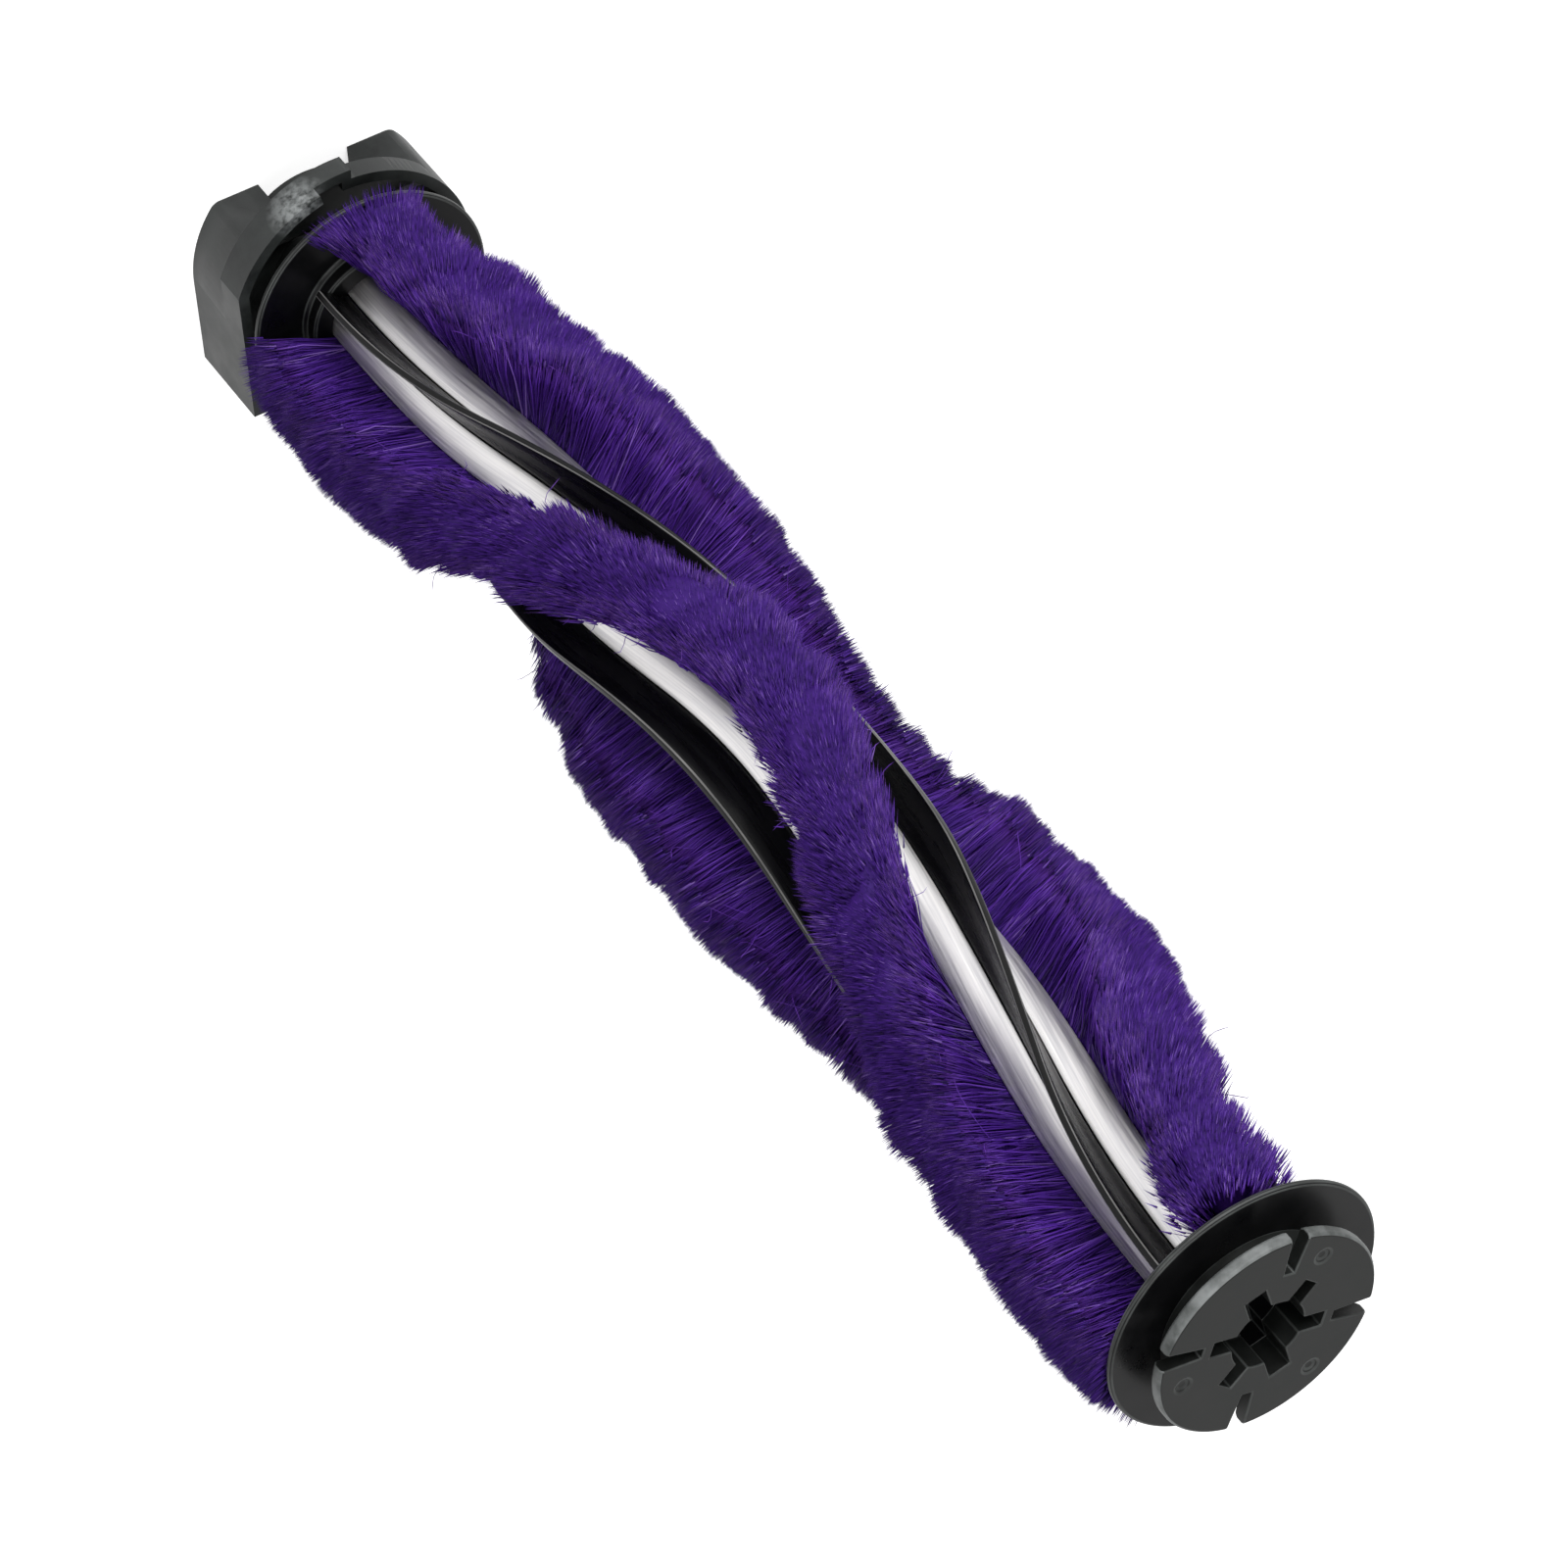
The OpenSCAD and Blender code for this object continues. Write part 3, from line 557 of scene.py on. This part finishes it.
def core_outline():
    """The whole outline: a blade slot and a pile slot in turn, with a lobe between them."""
    points = []
    sizes = [(2.2, 3.4, 1.2), (3.8, 5.2, 1.2)]
    slots = [slot_outline(*size) for size in sizes]
    for k in range(6):
        outline, half = slots[k % 2]
        next_half = slots[(k + 1) % 2][1]
        points += [turned(p, 60 * k) for p in outline]
        start, end = 60 * k + half, 60 * (k + 1) - next_half
        points += [polar(core_r, start + (end - start) * i / lobe_steps) for i in range(1, lobe_steps)]
    return points


core = twisted_bar("aluminium_core", core_outline(), core_z0, core_z1, 190, blade_phase, core_r + 10, 0)
core.data.materials.append(aluminium)
bpy.context.view_layer.objects.active = core
bpy.ops.object.shade_smooth_by_angle(angle=math.radians(35))
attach(core, "roller")
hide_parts("core_tube")

# %% [markdown]
# A blade is one extrusion with a foot in the slot, a thick root and a thin fin. The two narrow
# faces that round off its tip take the paler rubber material, a painted highlight.

# %% Rubber blades
blade_tip_r = 12.8
blade_lag = 15.0
strip_z0, strip_z1 = core_z0 + 0.4, core_z1 - 0.4
# Faces between these radii get the painted highlight.
highlight_r = (12.5, 12.79)
right_side = [(5.5, -1.6), (6.5, -1.6), (6.5, -1.0), (core_r, -1.0), (core_r + 0.5, -0.95),
              (core_r + 1.2, -0.72), (core_r + 2.2, -0.6), (11.0, -0.55), (12.3, -0.55),
              (12.62, -0.5), (12.77, -0.36), (12.8, -0.15)]
blade_outline = right_side + [(x, -y) for x, y in reversed(right_side)]
for k in range(3):
    blade = twisted_bar(f"rubber_blade_fin_{k + 1}", blade_outline, strip_z0, strip_z1, 180,
                        blade_phase + k * strip_pitch, blade_tip_r, blade_lag)
    blade.data.materials.append(rubber_side)
    blade.data.materials.append(rubber_edge)
    for face in blade.data.polygons:
        reach = [math.hypot(*blade.data.vertices[v].co.xy) / MM for v in face.vertices]
        highlighted = len(reach) == 4 and min(reach) > highlight_r[0] and max(reach) < highlight_r[1]
        face.material_index = 1 if highlighted else 0
    bpy.context.view_layer.objects.active = blade
    bpy.ops.object.shade_smooth_by_angle(angle=math.radians(40))
    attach(blade, "roller")
    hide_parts(f"rubber_blade_{k + 1}")

# %% [markdown]
# The pile decides how the whole brush reads. A solid alone would look like plastic, so each strip
# is a solid heart, painted dark as the shade deep in the pile, under tens of thousands of separate
# fibres. Fibres on the two flanks run from root to tip with a bend in them. On the rounded top only
# their last few millimetres show, so those are short spikes, painted darker than the flanks as
# painted shade. Waves of lean along the strip draw the fibres into tufts.

# %% Fibre tools
rng = np.random.default_rng(31)
pile_tip_r = 22.0
pile_lag = 8.0
root_r = 7.0


def waves(z, f, seed, lengths):
    """A smooth wandering number of about unit size along the strip, with a few wavelengths in mm."""
    local = np.random.default_rng(seed)
    total = np.zeros_like(z)
    for length in lengths:
        total += np.sin(2 * np.pi * (z / length + local.uniform(0, 1)) + f * local.uniform(-2, 2))
    return total / math.sqrt(len(lengths) / 2)


def strand_mesh(name, paths, radii, tone, run):
    """Three-sided strands along paths, an array of strand, point and xyz in mm. They end in a point."""
    count, points, _ = paths.shape
    lengthwise = np.gradient(paths, axis=1)
    lengthwise /= np.linalg.norm(lengthwise, axis=2, keepdims=True)
    side = np.cross(lengthwise, np.array([0.3, 0.5, 0.81]))
    side /= np.linalg.norm(side, axis=2, keepdims=True)
    other = np.cross(lengthwise, side)
    spin = rng.uniform(0, 2 * np.pi, (count, 1, 1))
    rings = []
    for corner in range(3):
        a = spin + 2 * np.pi * corner / 3
        rings.append(paths + radii[..., None] * (np.cos(a) * side + np.sin(a) * other))
    rings = np.stack(rings, axis=2)[:, :-1]
    per = 3 * (points - 1) + 1
    verts = np.concatenate([rings.reshape(count, -1, 3), paths[:, -1:, :]], axis=1).reshape(-1, 3)
    base = (np.arange(count) * per)[:, None]
    quads = []
    for level in range(points - 2):
        for corner in range(3):
            a, b = 3 * level + corner, 3 * level + (corner + 1) % 3
            quads.append([a, b, b + 3, a + 3])
    last = 3 * (points - 2)
    tips = [[last + corner, last + (corner + 1) % 3, per - 1] for corner in range(3)]
    quads = (base[:, :, None] + np.array(quads, int).reshape(1, -1, 4)).reshape(-1, 4)
    tips = (base[:, :, None] + np.array(tips).reshape(1, -1, 3)).reshape(-1, 3)
    mesh = bpy.data.meshes.new(name)
    mesh.vertices.add(len(verts))
    mesh.vertices.foreach_set("co", (verts * MM).astype(np.float32).ravel())
    corners = np.concatenate([quads.ravel(), tips.ravel()])
    starts = np.concatenate([np.arange(len(quads)) * 4, len(quads) * 4 + np.arange(len(tips)) * 3])
    mesh.loops.add(len(corners))
    mesh.loops.foreach_set("vertex_index", corners.astype(np.int32))
    mesh.polygons.add(len(starts))
    mesh.polygons.foreach_set("loop_start", starts.astype(np.int32))
    mesh.update(calc_edges=True)
    mesh.polygons.foreach_set("use_smooth", np.ones(len(starts), bool))
    tones = np.repeat(tone, per)
    runs = np.concatenate([np.repeat(run[:, :-1], 3, axis=1), run[:, -1:]], axis=1).ravel()
    for label, values in (("fibre_tone", tones), ("fibre_run", runs)):
        mesh.attributes.new(label, "FLOAT", "POINT").data.foreach_set("value", values.astype(np.float32))
    strands = bpy.data.objects.new(name, mesh)
    bpy.context.scene.collection.objects.link(strands)
    print(name, count, "strands", len(quads) * 2 + len(tips), "triangles")
    return strands


# %% [markdown]
# One function says where a fibre of a strip goes. It takes the height of the root and how far
# across the strip the fibre stands, from -1 to 1, and gives its root, middle and tip.

# %% Where a fibre goes
half_spread = 20.0
crown = 1.3
front_lean = (0.0, 0.0, 15.0)
lean_fade = 26.0


def end_lean(z, strip):
    """Degrees by which a strip's pile leans to one side near its ends, as it does after storage."""
    end = np.clip(np.minimum(z - strip_z0, strip_z1 - z), 0, None)
    return front_lean[strip] * np.exp(-end / lean_fade)


def fibre_path(z, f, strip, length_share, bend_mm):
    """Paths of three points, in mm, for fibres at heights z and places f across the strip."""
    phase = pile_phase + strip * strip_pitch
    end = np.minimum(z - strip_z0, strip_z1 - z)
    end_sign = np.where(z - strip_z0 < strip_z1 - z, -1.0, 1.0)
    splay = np.exp(-np.clip(end, 0, None) / 4.0)
    lean = 2.2 * waves(z, f, 11 + strip, (46, 23, 11)) + 1.0 * waves(z, 3 * f, 21 + strip, (5.5, 3.1))
    lean += end_lean(z, strip)
    comb = 0.9 * waves(z, 2 * f, 31 + strip, (37, 17, 7)) + 0.35 * waves(z, 5 * f, 41 + strip, (3.3, 2.1))
    tip_angle = f * (half_spread + 7 * splay) + lean + rng.normal(0, 1.3, z.shape)
    tip_r = pile_tip_r - 0.25 - crown * f ** 2 + 0.5 * waves(z, f, 51 + strip, (29, 13, 6))
    tip_r = np.clip(tip_r + rng.normal(0, 0.22, z.shape), None, pile_tip_r + 0.5)
    tip_z = z + comb + end_sign * splay * 1.6 + rng.normal(0, 0.8, z.shape)
    root = place(root_r * np.ones_like(z), 1.6 * f, z, phase, pile_tip_r, pile_lag)
    a = np.radians(tip_angle)
    tip_z = np.clip(tip_z, core_z0 - 2.2, core_z1 + 2.2)
    tip = place(tip_r * np.cos(a), tip_r * np.sin(a), tip_z, phase, pile_tip_r, pile_lag)
    start = tip + (root - tip) * length_share[:, None]
    middle = (start + tip) / 2 + rng.normal(0, 1, (len(z), 3)) * bend_mm * length_share[:, None]
    return np.stack([start, middle, tip], axis=1)


def tuft_tone(z, f, strip):
    """A random tone for each fibre, a little lighter or darker by tuft, from 0 to 1."""
    tuft = 0.1 * waves(z, 3 * f, 61 + strip, (19, 8, 4.1, 2.3))
    return np.clip(rng.beta(1.3, 1.7, z.shape) + tuft, 0, 1)


# %% [markdown]
# A few fibres stand out of the mass on every used brush. They are thinner, longer and curly, and
# they lean out over the silver and the blades. Each is a strand of ten points on a wavy path.

# %% Stray hairs
STRAYS = 70
STRAY_POINTS = 10


def stray_paths(strip):
    """Wavy paths, in mm, of the hairs that stand out of one strip's flanks."""
    phase = pile_phase + strip * strip_pitch
    side = rng.choice([-1.0, 1.0], (STRAYS, 1))
    z0 = rng.uniform(strip_z0 + 6, strip_z1 - 6, (STRAYS, 1))
    t = np.linspace(0, 1, STRAY_POINTS)[None, :]
    end_r = rng.uniform(15.5, pile_tip_r - 0.4, (STRAYS, 1))
    r = 13.5 + (end_r - 13.5) * t
    reach = rng.uniform(5, 17, (STRAYS, 1))
    curl = rng.uniform(0.5, 2.2, (STRAYS, 1)) * np.sin(2 * np.pi * (t * rng.uniform(0.6, 1.4, (STRAYS, 1))))
    a = np.radians(side * (15 + reach * t ** 1.3 + curl))
    z = z0 + rng.uniform(-7, 7, (STRAYS, 1)) * t + 0.8 * curl
    flat = place((r * np.cos(a)).ravel(), (r * np.sin(a)).ravel(), z.ravel(), phase, pile_tip_r,
                 pile_lag)
    return flat.reshape(STRAYS, STRAY_POINTS, 3)


# %% Pile strips
FLANK_FIBRES = 15000
TOP_FIBRES = 44000
heart_side = [(6.5, -1.7), (core_r, -1.7), (11.5, -2.3), (15.0, -3.4), (18.2, -4.3), (19.4, -3.6),
              (19.9, -2.2), (20.0, -0.8)]
heart_outline = heart_side + [(x, -y) for x, y in reversed(heart_side)]
for strip in range(3):
    heart = twisted_bar(f"pile_heart_{strip + 1}", heart_outline, strip_z0 + 1.0, strip_z1 - 1.0, 160,
                        pile_phase + strip * strip_pitch, pile_tip_r, pile_lag,
                        lambda z: end_lean(z, strip))
    heart.data.materials.append(pile_fibre)
    co = np.empty(len(heart.data.vertices) * 3)
    heart.data.vertices.foreach_get("co", co)
    reach = np.hypot(co[0::3], co[1::3]) / MM
    # Painted shade: the heart takes a low tone and grows darker inwards.
    for label, values in (("fibre_tone", np.full(len(reach), 0.12)),
                          ("fibre_run", np.clip((reach - 8) / 30, 0, 1))):
        attribute = heart.data.attributes.new(label, "FLOAT", "POINT")
        attribute.data.foreach_set("value", values.astype(np.float32))

    z = rng.uniform(strip_z0, strip_z1, FLANK_FIBRES)
    f = rng.choice([-1.0, 1.0], FLANK_FIBRES) * rng.uniform(0.6, 1.0, FLANK_FIBRES)
    paths = fibre_path(z, f, strip, np.full(FLANK_FIBRES, 1.0), 0.35)
    radii = np.tile([0.12, 0.10, 0.0], (FLANK_FIBRES, 1)) * rng.uniform(0.7, 1.2, (FLANK_FIBRES, 1))
    tone = tuft_tone(z, f, strip)
    run = np.tile([0.0, 0.5, 1.0], (FLANK_FIBRES, 1))
    flanks = strand_mesh(f"pile_flanks_{strip + 1}", paths, radii, tone, run)

    z = rng.uniform(strip_z0, strip_z1, TOP_FIBRES)
    f = rng.uniform(-1.0, 1.0, TOP_FIBRES)
    share = rng.uniform(0.16, 0.26, TOP_FIBRES)
    paths = fibre_path(z, f, strip, share, 0.0)[:, [0, 2]]
    radii = np.tile([0.15, 0.0], (TOP_FIBRES, 1)) * rng.uniform(0.7, 1.2, (TOP_FIBRES, 1))
    tone = tuft_tone(z, f, strip)
    # Painted shade: the tops' run stops at 0.42, so they are darker than the flanks, as when one looks down
    # into the pile.
    run = np.tile([0.0, 0.42], (TOP_FIBRES, 1))
    tops = strand_mesh(f"pile_tips_{strip + 1}", paths, radii, tone, run)

    radii = np.tile(np.append(np.full(STRAY_POINTS - 1, 0.055), 0.0), (STRAYS, 1))
    run = np.tile(np.linspace(0.3, 0.9, STRAY_POINTS), (STRAYS, 1))
    strays = strand_mesh(f"pile_strays_{strip + 1}", stray_paths(strip), radii,
                         rng.uniform(0.2, 0.95, STRAYS), run)

    for piece in (flanks, tops, strays):
        piece.data.materials.append(pile_fibre)
    for piece in (heart, flanks, tops, strays):
        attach(piece, "roller")
        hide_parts(f"pile_strip_{strip + 1}")

# %% [markdown]
# The stage is a pale floor and soft light. The camera looks down on the floor everywhere, so the
# floor is the whole background. A little camera-only glow lifts it to the photograph's white and
# still leaves the roller's shadow on it.

# %% Floor
def floor_material():
    """Matte white card that looks white to the camera and in gloss, and still takes a shadow."""
    material, tree, shader = new_material("matte_white_card",
                                          {"Base Color": linear("#e6e6e6"), "Roughness": 0.9})
    rays = add_node(tree, "ShaderNodeLightPath").outputs
    seen = add_node(tree, "ShaderNodeMath", {0: rays["Is Camera Ray"], 1: rays["Is Glossy Ray"]},
                    operation="MAXIMUM")
    seen = add_node(tree, "ShaderNodeMath", {0: seen.outputs[0], 1: rays["Is Transmission Ray"]},
                    operation="MAXIMUM")
    glow = add_node(tree, "ShaderNodeMath", {0: seen.outputs[0], 1: 0.55}, operation="MULTIPLY")
    tree.links.new(glow.outputs[0], shader.inputs["Emission Strength"])
    shader.inputs["Emission Color"].default_value = (1, 1, 1, 1)
    return material


bpy.ops.object.select_all(action="DESELECT")
bpy.ops.mesh.primitive_plane_add(size=8, location=(0, 0, -0.0001))
floor = bpy.context.active_object
floor.name = "floor"
floor.data.materials.append(floor_material())

# %% [markdown]
# One large soft box hangs on the picture's upper side, as the bright upper flanks in the
# photograph show. A second, weaker one faces the drive end. The world fills the shadows.

# %% Light
world = bpy.data.worlds.new("studio")
bpy.context.scene.world = world
world.use_nodes = True
tree = world.node_tree
tree.nodes.clear()
rays = add_node(tree, "ShaderNodeLightPath").outputs
seen = add_node(tree, "ShaderNodeMath", {0: rays["Is Camera Ray"], 1: rays["Is Glossy Ray"]},
                operation="MAXIMUM")
seen = add_node(tree, "ShaderNodeMath", {0: seen.outputs[0], 1: rays["Is Transmission Ray"]},
                operation="MAXIMUM")
level = add_node(tree, "ShaderNodeMapRange", {"Value": seen.outputs[0], "To Min": 0.55, "To Max": 1.0})
sky = add_node(tree, "ShaderNodeBackground", {"Color": (1, 1, 1, 1), "Strength": level.outputs["Result"]})
add_node(tree, "ShaderNodeOutputWorld", {"Surface": sky.outputs["Background"]})


def soft_box(name, direction, distance, size, power):
    """A square area lamp that faces the middle of the roller."""
    data = bpy.data.lights.new(name, "AREA")
    data.shape = "SQUARE"
    data.size = size
    data.energy = power
    lamp = bpy.data.objects.new(name, data)
    bpy.context.scene.collection.objects.link(lamp)
    towards = Vector(direction).normalized()
    lamp.location = camera_aim + towards * distance
    lamp.rotation_mode = "QUATERNION"
    lamp.rotation_quaternion = (-towards).to_track_quat("-Z", "Y")
    return lamp


soft_box("key_box", (0.10, 0.95, 0.30), 1.0, 0.7, 11)
soft_box("drive_end_box", (-0.35, 0.25, 0.95), 1.1, 0.6, 6)
bpy.context.scene.view_settings.view_transform = "Standard"
